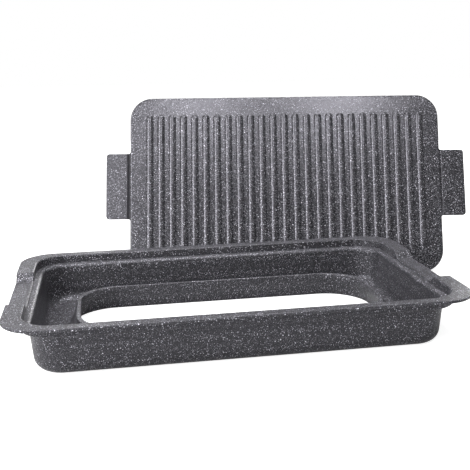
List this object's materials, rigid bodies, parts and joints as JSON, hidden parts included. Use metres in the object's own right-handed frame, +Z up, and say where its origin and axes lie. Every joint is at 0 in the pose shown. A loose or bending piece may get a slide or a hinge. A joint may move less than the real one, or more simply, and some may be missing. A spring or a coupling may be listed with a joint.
{
  "type": "rectangular grill pan",
  "caption": "Stove-top grill set: ribbed rectangular grill plate with handle ears, and a drip tray with a raised ring around its open middle.",
  "frame": {"origin": "middle of the footprint of the tray and the standing plate, on the table", "axes": "+X along the tray's long sides, +Y from the tray towards the standing plate, +Z up"},
  "size_m": [0.5576, 0.4006, 0.2193],
  "materials": {
    "tray_coating": "speckled non-stick coating, satin",
    "plate_coating": "speckled non-stick coating, satin"
  },
  "bodies": {
    "tray": {"drip_tray": "tray_coating"},
    "plate": {"grill_plate": "plate_coating"}
  },
  "joints": [
    {"name": "plate_lift", "type": "slide", "parent": "tray", "child": "plate", "axis": [0, 0, 1], "range_m": [0, 0.06]}
  ]
}
